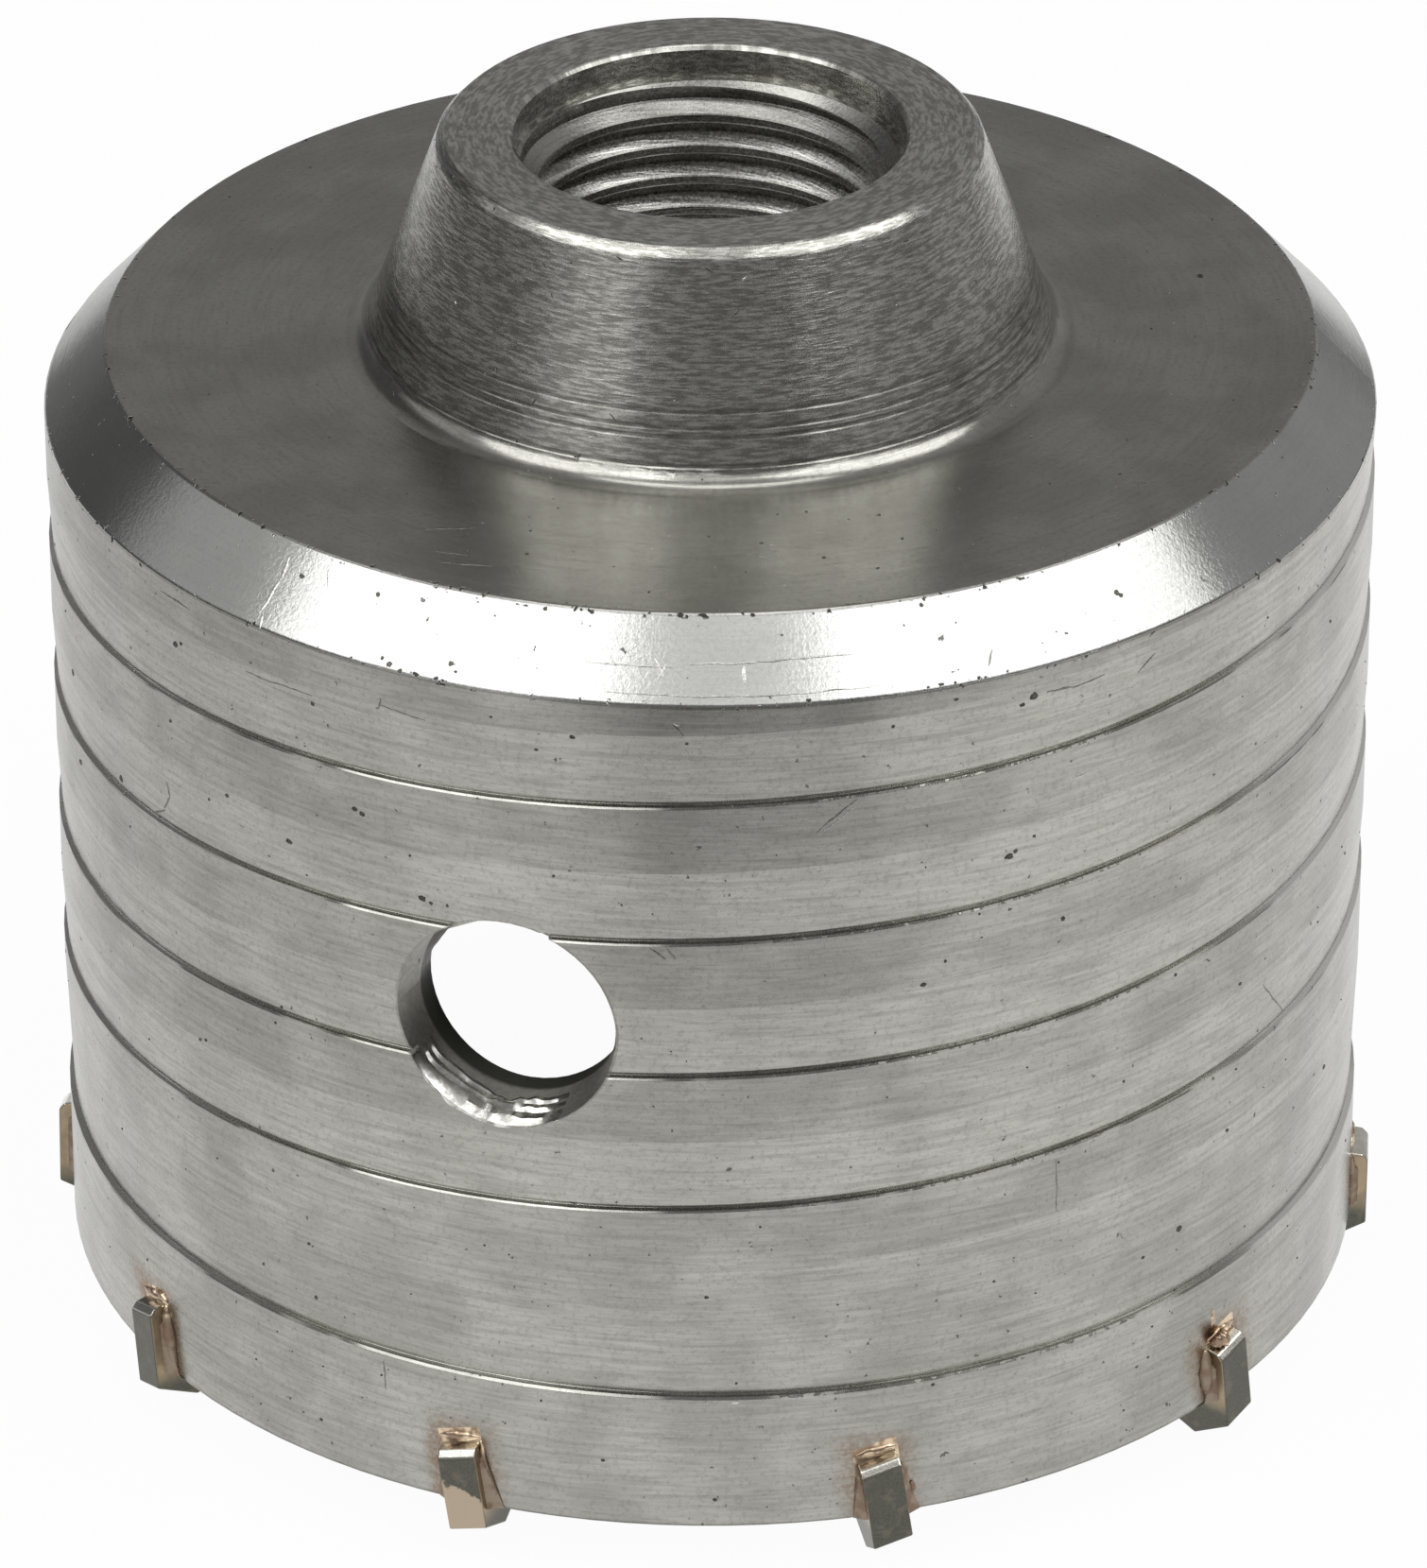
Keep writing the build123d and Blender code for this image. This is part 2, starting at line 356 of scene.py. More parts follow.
BRIGHT_STROKES = [
    ((-131.0, 36.04, 60.51), (-130.7, 36.89, 59.6), 0.16),
    ((-130.7, 36.89, 59.6), (-130.9, 38.47, 57.92), 0.16),
    ((-130.9, 38.4, 57.99), (-130.6, 38.99, 57.3), 0.12),
    ((-87.24, 37.41, 59.05), (-87.3, 38.11, 58.3), 0.13),
    ((-100.7, 37.41, 59.05), (-93.0, 37.35, 59.11), 0.08),
    ((-91.8, 37.32, 59.14), (-78.0, 37.12, 59.36), 0.1),
    ((-98.8, 38.53, 57.85), (-76.1, 38.6, 57.78), 0.07), ((-95.0, 37.0, 59.49), (-94.0, 37.8, 58.63), 0.08),
    ((-94.6, 38.0, 58.42), (-93.9, 37.3, 59.17), 0.08), ((-77.6, 39, 50.9), (-81.3, 39, 49.0), 0.07),
    ((-126.6, 35.9, 60.66), (-125.8, 36.6, 59.91), 0.1), ((-93.0, 39, 56.35), (-92.7, 39, 56.15), 0.12),
    ((-88.4, 39, 11.75), (-87.8, 39, 11.75), 0.2), ((-58.6, 39, 49.6), (-56.9, 39, 49.7), 0.09),
]
# How many small pits and flecks lie at random, and how strokes are drawn: the length of a step, a factor on
# the listed widths, how far all strokes lie off the steel, and their profiles in half widths and lifts
SCATTERED = 150
FLECKS = 70
STROKE_STEP = 0.25
STROKE_WIDTH = 1.35
STROKE_LIFT = 0.004
GOUGE_PROFILE = [(-0.7, -0.03), (-0.4, 0.016), (0.0, 0.006), (0.4, 0.016), (0.7, -0.03)]
BURR_PROFILE = [(-0.8, -0.03), (0.0, 0.05), (0.8, -0.03)]

# Turned edges that use has rounded: radius, height, the rounded edge's slope in degrees, and its width
ROUNDED_EDGES = [
    (WALL_RADIUS, SHOULDER_Z, 21.0, 0.2), (PLATE_RADIUS, PLATE_Z, 66.0, 0.2),
    (HUB_TOP_RADIUS, HUB_Z - 0.5, 32.0, 0.2), (HUB_TOP_RADIUS - 0.5, HUB_Z, 67.0, 0.16),
    (RECESS_RADIUS + 0.25, HUB_Z, 115.0, 0.16), (WALL_RADIUS, RIM_Z, -45.0, 0.2),
]
EDGE_NEAR = 0.02
EDGE_PULL = 2.2

# Fine rings turned into the hub's cone: the height of the first, and how far below it each lies
HUB_RING_Z = PLATE_Z + 4.0
HUB_RING_DROPS = (0.0, 0.85, 1.35, 2.9)
HUB_RING_HALF = 0.04
HUB_RING_SOFT = 0.14

# How far the torch's stain reaches beside a tip and above its braze, and how far it wanders
STAIN_REACH = 2.0
STAIN_RISE = 1.6
STAIN_WANDER = 0.9


def side_hole_masks(graph, point):
    """1 on the side hole's own wall, and 1 on its part below the flare, which is painted in shade."""
    out = tuple(polar(HOLE_ANGLE, 1.0, 0.0))
    offset = graph.vector("SUBTRACT", point, (0.0, 0.0, HOLE_Z))
    depth = graph.vector("DOT_PRODUCT", offset, out)
    beside = graph.vector("SUBTRACT", offset, graph.vector("SCALE", out, scale=depth))
    reach = graph.vector("LENGTH", beside)
    in_hole = graph.both(graph.fade(reach, HOLE_RADIUS + 0.02, HOLE_RADIUS + 0.06, 1.0, 0.0),
                         graph.fade(depth, 5.0, 6.0))
    deep = graph.both(in_hole, graph.fade(depth, HOLE_FLARE_START - 0.4, HOLE_FLARE_START, 1.0, 0.0))
    return in_hole, deep


def torch_stain(graph, turn, z, mottle, speck):
    """The torch's stain beside each tip, from a point's angle and height and two noises."""
    spacing = 360 / TIP_COUNT
    tilt = math.tan(math.radians(TIP_LEAN))
    shifted = graph.math("SUBTRACT", turn, FIRST_TIP_ANGLE - spacing / 2)
    gap = graph.math("SUBTRACT", graph.math("FLOORED_MODULO", shifted, spacing), spacing / 2)
    gap = graph.math("MULTIPLY", gap, WALL_RADIUS * math.pi / 180)
    leant = graph.math("MULTIPLY_ADD", z, tilt, -(RIM_Z + TIP_SEAT / 2) * tilt)
    gap = graph.math("ADD", gap, leant)
    gap = graph.math("ADD", gap, graph.fade(mottle, 0.2, 0.8, -STAIN_WANDER, STAIN_WANDER))
    gap = graph.math("ABSOLUTE", gap)
    reach = graph.both(graph.fade(gap, TIP_WIDTH / 2, TIP_WIDTH / 2 + STAIN_REACH, 1.0, 0.0),
                       graph.fade(z, RIM_Z + BRAZE_TOP - 1.0, RIM_Z + BRAZE_TOP + STAIN_RISE, 1.0, 0.0))
    return graph.both(reach, graph.fade(speck, 0.3, 0.65, 0.35, 1.0))


def rounded_edges(graph, turned, normal):
    """The normal leant outwards near each turned edge, as if the edge were round."""
    section = graph.combine(turned.radius, turned.z, 0.0)
    for edge_radius, edge_z, slope, width in ROUNDED_EDGES:
        away = graph.vector("DISTANCE", section, (edge_radius, edge_z, 0.0))
        near = graph.fade(away, EDGE_NEAR, width, EDGE_PULL, 0.0)
        flat, rise = math.cos(math.radians(slope)), math.sin(math.radians(slope))
        facing = graph.combine(graph.both(turned.cos, flat), graph.both(turned.sin, flat), rise)
        normal = graph.lean(normal, facing, near)
    return normal


def turned_steel():
    """Bare turned steel: marks round the axis, rounded and chipped edges, small pits and heat stains, with
    painted shade in the side hole and on the hub's fillet, painted light on the tapers and in the grooves at
    the sides, and a painted highlight tint on the shoulder.
    """
    material, graph, shader = new_material("turned_steel")
    turned = Turned(graph)
    z, radius, point = turned.z, turned.radius, turned.point
    turn = turned.turn()
    fine = turned.marks(14.0, 4.4, 2.0, 0.6)
    lines = turned.marks(5.0, 2.6, 2.0, 0.65, 7.0)
    grain = graph.noise(point, 9.0, 2.0, 0.6)
    speck = graph.noise(point, 3.2, 2.0, 0.7)
    mottle = graph.noise(point, 0.16, 2.0, 0.55)
    chips = graph.noise(point, 1.6, 2.0, 0.65)

    on_wall = graph.both(graph.fade(z, SHOULDER_Z, SHOULDER_Z + 0.05, 1.0, 0.0),
                         graph.fade(radius, WALL_RADIUS - 1.0, WALL_RADIUS - 0.8))
    on_shoulder = graph.both(graph.band(z, SHOULDER_Z, PLATE_Z - 0.1, 0.05),
                             graph.fade(radius, PLATE_RADIUS - 0.3, PLATE_RADIUS - 0.1))
    on_hub = graph.fade(z, PLATE_Z + 0.2, PLATE_Z + 1.0)
    on_fillet = graph.band(z, PLATE_Z + 0.04, PLATE_Z + 1.0, 0.1)
    above_hub_rings = graph.fade(z, HUB_RING_Z + 0.1, HUB_RING_Z + 0.4)
    in_hole, deep = side_hole_masks(graph, point)
    stained = torch_stain(graph, turn, z, mottle, speck)

    # The grooves' bright lips, where they stand up, and the tapers above the grooves
    climb = turned.climb(turn)
    above_ring = graph.fade(z, RING_Z + 8.0, RING_Z + 8.3)
    lip_top = PITCH - GROOVE_HALF + 0.02
    lip = graph.both(graph.band(climb, lip_top - 0.16, lip_top, 0.04), above_ring)
    ring_lip = graph.band(z, RING_Z - GROOVE_HALF - 0.2, RING_Z - GROOVE_HALF + 0.02, 0.05)
    raised = graph.either(
        graph.fade(mottle, 0.42, 0.62, 0.08, 0.5),
        graph.band(turn, -120.0, -96.0, 6.0),
        graph.both(graph.band(turn, -84.0, -54.0, 6.0), graph.fade(chips, 0.44, 0.64, 0.0, 0.7)))
    lip = graph.both(graph.either(lip, ring_lip), raised, on_wall)
    tapered = graph.both(graph.band(climb, GROOVE_HALF, TAPER_END, 0.02), above_ring)
    ring_tapered = graph.band(z, RING_Z + GROOVE_HALF, RING_Z + RING_TAPER_END, 0.02)

    # Chipped edges, small pits and the rings on the hub
    low_edge = graph.band(z, SHOULDER_Z - 0.16, SHOULDER_Z + 0.12, 0.12)
    high_edge = graph.both(graph.band(z, PLATE_Z - 0.16, PLATE_Z + 0.01, 0.1),
                           graph.fade(radius, PLATE_RADIUS - 0.4, PLATE_RADIUS - 0.2))
    chipped = graph.both(graph.either(low_edge, high_edge), graph.fade(chips, 0.61, 0.67))
    peppered = graph.fade(chips, 0.72, 0.76)
    holes = graph.either(graph.both(peppered, 0.6), graph.both(chipped, 0.9))
    hub_rings = graph.either(*[
        graph.band(z, HUB_RING_Z - drop - HUB_RING_HALF, HUB_RING_Z - drop + HUB_RING_HALF, HUB_RING_SOFT)
        for drop in HUB_RING_DROPS])
    hub_rings = graph.both(hub_rings, graph.fade(radius, THREAD_RADIUS + 1.0, THREAD_RADIUS + 2.0))

    # The wall and its tapers are smoother than the mesh that shows them. At the sides the grooves are painted
    # light, near white, and their normals are leant outwards, against the shade the mesh gives them.
    geometry = graph.node("ShaderNodeNewGeometry").outputs
    facing = graph.vector("DOT_PRODUCT", geometry["True Normal"], turned.around)
    floor_radius = WALL_RADIUS - GROOVE_DEPTH
    smooth = graph.both(graph.fade(facing, 0.3, 0.5),
                        graph.fade(radius, floor_radius + 0.025, floor_radius + 0.03),
                        graph.fade(z, SHOULDER_Z - 0.02, SHOULDER_Z, 1.0, 0.0))
    from_front = graph.math("ABSOLUTE", graph.math("ADD", turn, 90.0))
    at_sides = graph.fade(from_front, 30.0, 75.0, 0.0, 0.9)
    pale = graph.both(at_sides, graph.math("SUBTRACT", 1.0, smooth), on_wall)

    lined = graph.sum((on_hub, 0.2), (on_wall, 0.14), (1.0, 0.16))
    streaked = graph.sum((on_hub, 0.56), (on_wall, 0.1), (1.0, 0.07))
    base = graph.coat(
        colour(183, 182, 176),
        (graph.fade(mottle, 0.36, 0.64), (167, 166, 160)),
        # Painted sheen: the tapers above the grooves are painted lighter than the lands.
        (graph.both(tapered, on_wall, 0.3), (204, 202, 195)),
        (graph.both(graph.fade(lines, 0.46, 0.68), lined), (126, 124, 117)),
        (graph.both(on_hub, 0.45), (222, 221, 215)),
        (graph.both(graph.fade(fine, 0.38, 0.6), streaked), (108, 107, 100)),
        (graph.fade(speck, 0.5, 0.66, 0.0, 0.26), (118, 116, 108)),
        # Painted highlight tint: the shoulder is painted less yellow so that its lamp highlights show neutral
        # white.
        (graph.both(on_shoulder, 0.6), (180, 181, 179)),
        (graph.both(in_hole, graph.fade(speck, 0.35, 0.6, 0.0, 0.5)), (150, 148, 140)),
        # Painted shade: the side hole's part below the flare is painted dark.
        (deep, (84, 84, 78)),
        (graph.both(stained, 0.9), (136, 112, 90)),
        (graph.both(hub_rings, 0.4), (92, 91, 85)),
        # Painted shade: the hub's fillet is painted darker to dim its highlight.
        (graph.both(on_fillet, 0.4), (110, 109, 103)),
        # Painted light: the grooves at the sides are painted near white over their shade.
        (pale, (246, 245, 240)),
        (holes, (54, 52, 47)))

    roughness = graph.mix(on_wall, 0.26, 0.27)
    for mask, level in ((on_shoulder, 0.21), (on_fillet, 0.19), (in_hole, 0.5)):
        roughness = graph.mix(mask, roughness, level)
    roughness = graph.math("ADD", roughness, graph.fade(grain, 0.2, 0.8, -0.03, 0.03))
    roughness = graph.mix(holes, roughness, 0.6)

    slope = graph.sum((tapered, -TAPER_SLOPE), (ring_tapered, -RING_TAPER_SLOPE))
    wall_normal = graph.combine(turned.cos, turned.sin, slope)
    normal = graph.node("ShaderNodeMix", {0: smooth, 4: geometry["Normal"], 5: wall_normal},
                        data_type="VECTOR").outputs[1]
    normal = graph.lean(normal, turned.around, pale)
    normal = rounded_edges(graph, turned, normal)
    normal = graph.lean(normal, (0.0, 0.0, 1.0), graph.both(lip, 0.95))
    scored = graph.sum((graph.both(on_hub, above_hub_rings), 0.02), (on_wall, -0.0045), (1.0, 0.006))
    grained = graph.mix(on_wall, 0.003, 0.0005)
    relief = graph.sum((graph.both(fine, scored), 1.0), (graph.both(grain, grained), 1.0),
                       (graph.both(on_shoulder, speck), 0.01), (hub_rings, -0.018), (holes, -0.07))
    graph.finish(shader, base, roughness, graph.bump(relief, 1.0, MM, normal))
    shader.inputs["Anisotropic"].default_value = 0.7
    shader.inputs["Anisotropic Rotation"].default_value = 0.25
    tangent = graph.node("ShaderNodeTangent", direction_type="RADIAL", axis="Z").outputs[0]
    graph.join(tangent, shader.inputs["Tangent"])
    return material


def threaded_steel():
    """The bright cut metal of the thread, with painted shade on its flats and on its top turn."""
    material, graph, shader = new_material("threaded_steel")
    turned = Turned(graph)
    lines = turned.marks(2.0, 8.0, 3.0, 0.65)
    grain = graph.noise(turned.point, 5.0, 3.0, 0.65)
    below_entry = graph.fade(turned.z, RECESS_FLOOR_Z - 1.0, RECESS_FLOOR_Z - 0.8, 1.0, 0.0)
    flats = graph.either(graph.band(turned.radius, ROOT_RADIUS - 0.1, THREAD_RADIUS + 0.2, 0.06),
                         graph.band(turned.radius, CREST_RADIUS - 0.92, CREST_RADIUS + 0.04, 0.06))
    on_thread = graph.fade(turned.radius, THREAD_RADIUS + 0.6, THREAD_RADIUS + 1.0, 1.0, 0.0)
    upper = graph.fade(turned.z, RECESS_FLOOR_Z - 2.3, RECESS_FLOOR_Z - 1.9, 0.0, 0.6)
    base = graph.coat(
        colour(190, 190, 185),
        (graph.fade(grain, 0.3, 0.7), (212, 211, 206)),
        (graph.fade(lines, 0.5, 0.66, 0.0, 0.6), (112, 111, 106)),
        # Painted shade: the thread's root and crest flats are painted darker.
        (graph.both(flats, below_entry, on_thread, graph.fade(grain, 0.3, 0.7, 0.9, 0.6)), (104, 103, 97)),
        # Painted shade: the top turn of the thread is painted darker to dim its bright ledge.
        (graph.both(upper, on_thread), (116, 115, 110)))
    relief = graph.sum((lines, 0.03), (grain, 0.015))
    graph.finish(shader, base, graph.fade(grain, 0.2, 0.8, 0.18, 0.34), graph.bump(relief, 1.0, MM))
    return material


def torn_steel():
    """The bright smeared metal that the drill left in the side hole."""
    material, graph, shader = new_material("torn_steel")
    turned = Turned(graph)
    smear = graph.noise(turned.point, 1.3, 3.0, 0.6)
    base = graph.coat(colour(236, 235, 231), (graph.fade(smear, 0.38, 0.6), (178, 177, 171)))
    graph.finish(shader, base, graph.fade(smear, 0.3, 0.7, 0.24, 0.4), graph.bump(smear, 1.0, 0.03 * MM))
    return material


def worn_metal(name, dark, light):
    """Steel dulled in use, from a dark to a light colour."""
    material, graph, shader = new_material(name)
    turned = Turned(graph)
    grain = graph.noise(turned.point, 4.0, 3.0, 0.65)
    base = graph.coat(colour(*dark), (graph.fade(grain, 0.3, 0.7), light))
    graph.finish(shader, base, graph.fade(grain, 0.2, 0.8, 0.35, 0.55), graph.bump(grain, 1.0, 0.015 * MM))
    return material


# The slant of the smear of braze low on the left front tip
SMEAR_SLANT = 0.3


def carbide():
    """Ground tungsten carbide: clean grey outside, painted near white on faces that look upwards, and brown
    from the torch at the sides.
    """
    material, graph, shader = new_material("carbide")
    turned = Turned(graph)
    grain = graph.noise(turned.point, 8.0, 3.0, 0.6)
    stain = graph.noise(turned.point, 0.9, 3.0, 0.6)
    normal = graph.node("ShaderNodeNewGeometry").outputs["Normal"]
    facing = graph.vector("DOT_PRODUCT", normal, turned.around)
    rise = graph.separate(normal)[2]
    upward = graph.fade(rise, 0.35, 0.55)
    pale_upward = graph.both(upward, graph.fade(turned.z, RIM_Z + 2.5, RIM_Z + 3.5))
    beside = graph.both(graph.fade(graph.math("ABSOLUTE", facing), 0.3, 0.6, 1.0, 0.0),
                        graph.fade(turned.z, RIM_Z - 1.2, RIM_Z + 0.4), graph.math("SUBTRACT", 1.0, upward))
    low = graph.math("ADD", turned.z, graph.fade(stain, 0.3, 0.7, -0.25, 0.25))
    low = graph.math("MULTIPLY_ADD", turned.x, SMEAR_SLANT, low)
    smeared = graph.both(graph.fade(low, 0.1, 0.3, 1.0, 0.0), graph.band(turned.x, -20.0, -10.0, 1.0),
                         graph.fade(turned.y, -10.0, -9.0, 1.0, 0.0), graph.fade(facing, 0.8, 0.95))
    base = graph.coat(
        colour(84, 84, 77),
        (graph.fade(grain, 0.3, 0.7), (100, 99, 91)),
        (graph.fade(stain, 0.52, 0.7, 0.0, 0.18), (160, 146, 126)),
        (graph.both(beside, graph.fade(stain, 0.3, 0.6, 0.6, 0.95)), (170, 152, 126)),
        (graph.both(smeared, 0.95), (184, 168, 148)),
        # Faces that look upwards, high on the tip, are painted near white.
        (graph.both(pale_upward, graph.fade(stain, 0.3, 0.6, 1.0, 0.8)), (232, 229, 218)))
    roughness = graph.mix(pale_upward, graph.fade(grain, 0.2, 0.8, 0.28, 0.4), 0.18)
    graph.finish(shader, base, roughness, graph.bump(grain, 1.0, 0.005 * MM))
    return material


def braze_metal():
    """Brass braze, gold where it is clean and brown from the torch."""
    material, graph, shader = new_material("braze")
    turned = Turned(graph)
    stain = graph.noise(turned.point, 1.1, 2.0, 0.55)
    lump = graph.noise(turned.point, 2.0, 2.0, 0.5)
    top = graph.fade(turned.z, RIM_Z + 3.4, RIM_Z + 4.0)
    base = graph.coat(
        colour(158, 142, 124),
        (top, (228, 206, 178)),
        (graph.fade(stain, 0.42, 0.6, 0.0, 0.85), (138, 114, 96)),
        (graph.fade(lump, 0.6, 0.72, 0.0, 0.4), (104, 90, 74)))
    roughness = graph.math("ADD", graph.mix(top, 0.55, 0.3), graph.fade(stain, 0.3, 0.7, -0.05, 0.08))
    relief = graph.bump(graph.sum((lump, 0.03), (stain, 0.03)), 1.0, MM)
    graph.finish(shader, base, roughness, relief, graph.mix(top, 0.35, 1.0))
    return material


def dress_nodes(steel, brass, hard):
    """Gives each solid its own finish."""
    for name, node in nodes.items():
        kind = name.split("_")[0]
        finish = {"body": steel, "tip": hard, "braze": brass}[kind]
        node.data.materials.clear()
        node.data.materials.append(finish)


def shown(name, data):
    """An object in the scene with a mesh, lamp or camera as its data."""
    made = bpy.data.objects.new(name, data)
    bpy.context.scene.collection.objects.link(made)
    return made


def mesh_object(name, points, faces):
    """A mesh object from points in metres and faces."""
    mesh = bpy.data.meshes.new(name)
    mesh.from_pydata([tuple(point) for point in points], [], faces)
    mesh.update()
    shaped = bmesh.new()
    shaped.from_mesh(mesh)
    bmesh.ops.remove_doubles(shaped, verts=shaped.verts, dist=SAME_CORNER)
    bmesh.ops.recalc_face_normals(shaped, faces=shaped.faces)
    shaped.to_mesh(mesh)
    shaped.free()
    mesh.polygons.foreach_set("use_smooth", [True] * len(mesh.polygons))
    return shown(name, mesh)


def grid(rows, columns, first=0, closed=False):
    """The faces between rows of points, which are numbered from first. Closed rows run round in rings."""
    faces = []
    for row in range(rows - 1):
        for column in range(columns if closed else columns - 1):
            low = first + row * columns + column
            beside = first + row * columns + (column + 1) % columns
            faces.append((low, beside, beside + columns, low + columns))
    return faces


def piece(name, points, faces, material):
    """A piece of the saw that rides with it, from points in millimetres."""
    made = mesh_object(name, [Vector(point) * MM for point in points], faces)
    made.data.materials.append(material)
    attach(made, "root")
    return made


# Thread in the hub: its section over one pitch, as rises and radii, and its gap to the bore's ends
THREAD_PITCH = 2.0
THREAD_GAP = 0.01
THREAD_STEPS = 120
CREST_RADIUS = 9.92
ROOT_RADIUS = 10.94
SLEEVE_RADIUS = 10.99
THREAD_PHASE = 0.15
THREAD_PROFILE = [
    (0.0, ROOT_RADIUS), (0.2, ROOT_RADIUS), (0.27, 10.86), (0.75, 10.0), (0.83, CREST_RADIUS),
    (1.27, CREST_RADIUS), (1.35, 10.0), (1.83, 10.86), (1.9, ROOT_RADIUS),
]
ENTRY_SLOPE = 1.1


def make_thread(material):
    """The arbor thread as a sleeve in the hub's bore, with a chamfered entry at each end."""
    top, bottom = RECESS_FLOOR_Z - THREAD_GAP, CEILING_Z + THREAD_GAP
    turns = int((top - bottom) / THREAD_PITCH) + 2
    rows = [(turn * THREAD_PITCH + rise, radius)
            for turn in range(-1, turns) for rise, radius in THREAD_PROFILE]
    points = []
    for step in range(THREAD_STEPS + 1):
        share = step / THREAD_STEPS
        angle = 360 * share
        for rise, radius in rows:
            z = min(max(bottom + rise + (share - 1) * THREAD_PITCH + THREAD_PHASE, bottom), top)
            entry = max(THREAD_RADIUS - ENTRY_SLOPE * (top - z), THREAD_RADIUS - ENTRY_SLOPE * (z - bottom))
            points.append(polar(angle, min(max(radius, entry), SLEEVE_RADIUS), z))
        points.append(polar(angle, SLEEVE_RADIUS, top))
        points.append(polar(angle, SLEEVE_RADIUS, bottom))
    faces = grid(THREAD_STEPS + 1, len(rows) + 2, closed=True)
    thread = piece("arbor_thread", points, faces, material)
    thread.data.set_sharp_from_angle(angle=math.radians(SHARP_ANGLE))
    return thread


# Torn metal at the side hole's lower lip, as depths in from the wall's face and heights
LIP_START = 210.0
LIP_END = 300.0
LIP_STEPS = 120
LIP_TEETH = [
    (0.0, 0.0), (0.12, 0.08), (0.4, 0.34), (0.85, 0.4), (1.0, 0.06), (1.2, 0.04), (1.38, 0.32), (1.58, 0.3),
    (1.7, 0.04), (1.86, 0.04), (2.02, 0.3), (2.3, 0.26), (2.45, 0.02), (2.6, -0.06),
]
# The lip is torn from this share of its length on, how soon it is torn fully, how far its outer edge is
# folded out, and how deep it may dip below the hole's wall
LIP_BREAK = 0.52
LIP_BREAK_RATE = 10
LIP_FOLD = 0.16
LIP_DIP = -0.06
# Burrs inside the hole where the drill came through: direction, half width in degrees, and height
BURRS = [(140.0, 38.0, 0.6), (-8.0, 30.0, 0.75)]
BURR_STEPS = 72
BURR_DIP = -0.04
BURR_TEETH = [(3.3, -0.03), (3.9, 0.6), (4.2, 1.0), (4.35, 0.3), (4.5, -0.03)]


def flare_radius(reach):
    """The side hole's radius at a distance from the saw's axis."""
    share = max(reach - HOLE_FLARE_START, 0) / (WALL_RADIUS - HOLE_FLARE_START)
    return HOLE_STRAIGHT + (HOLE_RADIUS - HOLE_STRAIGHT) * share


def in_side_hole(turn, depth, height):
    """A point that stands up from the side hole's wall, at a depth in from the saw's outer face."""
    out, side = polar(HOLE_ANGLE, 1.0, 0.0), polar(HOLE_ANGLE + 90, 1.0, 0.0)
    place = math.sqrt(WALL_RADIUS ** 2 - (HOLE_RADIUS * math.cos(turn)) ** 2) - depth
    radius = flare_radius(place) - height
    return out * place + side * (radius * math.cos(turn)) + Vector((0, 0, HOLE_Z + radius * math.sin(turn)))


def make_hole_lip(material):
    """Ridges that the drill tore up inside the side hole's lower lip."""
    points = []
    for step in range(LIP_STEPS + 1):
        share = step / LIP_STEPS
        turn = math.radians(LIP_START + share * (LIP_END - LIP_START))
        ease = math.sin(math.pi * share) ** 0.7
        torn_part = min(max((share - LIP_BREAK) * LIP_BREAK_RATE + 0.5, 0), 1)
        fold = LIP_FOLD * ease * (1.0 + noise.noise(Vector((share * 14.0, 2.0, 8.3))))
        points.append(in_side_hole(turn, -0.02, -fold))
        for depth, height in LIP_TEETH:
            rough = noise.noise(Vector((share * 4.0, depth * 0.8, 0.7)))
            torn = noise.noise(Vector((share * 15.0, depth * 1.6, 4.1))) * torn_part
            slip = 0.5 * noise.noise(Vector((share * 5.0, depth * 0.6, 9.4))) * min(depth, 1.0)
            stand = height * ease * (1.0 + 0.4 * rough + 0.9 * torn)
            points.append(in_side_hole(turn, depth + slip * ease, max(stand, LIP_DIP)))
    faces = grid(LIP_STEPS + 1, len(LIP_TEETH) + 1)
    lip = piece("side_hole_lip", points, faces, material)
    lip.data.set_sharp_from_angle(angle=math.radians(SHARP_ANGLE))
    return lip


def make_hole_burrs(material):
    """Burrs at the side hole's inner edge."""
    points, faces = [], []
    for middle, half, height in BURRS:
        first = len(points)
        for step in range(BURR_STEPS + 1):
            share = 2 * step / BURR_STEPS - 1
            turn = math.radians(middle + half * share)
            ease = math.cos(math.pi / 2 * share) ** 1.5
            ease *= 1.0 + 0.25 * noise.noise(Vector((share * 5.0, middle, 3.3)))
            for depth, stand in BURR_TEETH:
                points.append(in_side_hole(turn, depth, height * max(stand * ease, BURR_DIP)))
        faces += grid(BURR_STEPS + 1, len(BURR_TEETH), first)
    return piece("side_hole_burrs", points, faces, material)


# How near an edge a point counts as on the next surface, and how high the hub's fillet reaches
AT_EDGE = 0.02
FILLET_HEIGHT = 1.0


def around(spot):
    """The outward direction and the direction round the axis at a point of the turned surface."""
    flat = Vector((spot.x, spot.y, 0)).normalized()
    up = Vector((0, 0, 1))
    if spot.z > PLATE_Z + FILLET_HEIGHT:
        outward = (flat * (HUB_Z - PLATE_Z) + up * (HUB_BASE_RADIUS - HUB_TOP_RADIUS)).normalized()
    elif spot.z > PLATE_Z - AT_EDGE:
        outward = up
    elif spot.z > SHOULDER_Z + AT_EDGE:
        outward = (flat * (PLATE_Z - SHOULDER_Z) + up * (WALL_RADIUS - PLATE_RADIUS)).normalized()
    else:
        outward = flat
    return outward, up.cross(flat)


# How far from a spot the body's own surface is looked for
SEARCH = 1.5


def settled(spot, lift):
    """The point in millimetres that lies a little above the body's own surface at a spot."""
    outward = around(spot)[0]
    start = (spot + outward * SEARCH) * MM
    found, place, _, _ = nodes["body"].ray_cast(start, -outward, distance=2 * SEARCH * MM)
    return (place / MM if found else spot) + outward * lift


# A pit's rings, as shares of its size and lifts
CRATER_SIDES = 12
CRATER_RINGS = [(1.0, -0.02), (0.8, 0.025), (0.45, 0.014), (0.0, 0.008)]
PIT_SCALE = 0.8


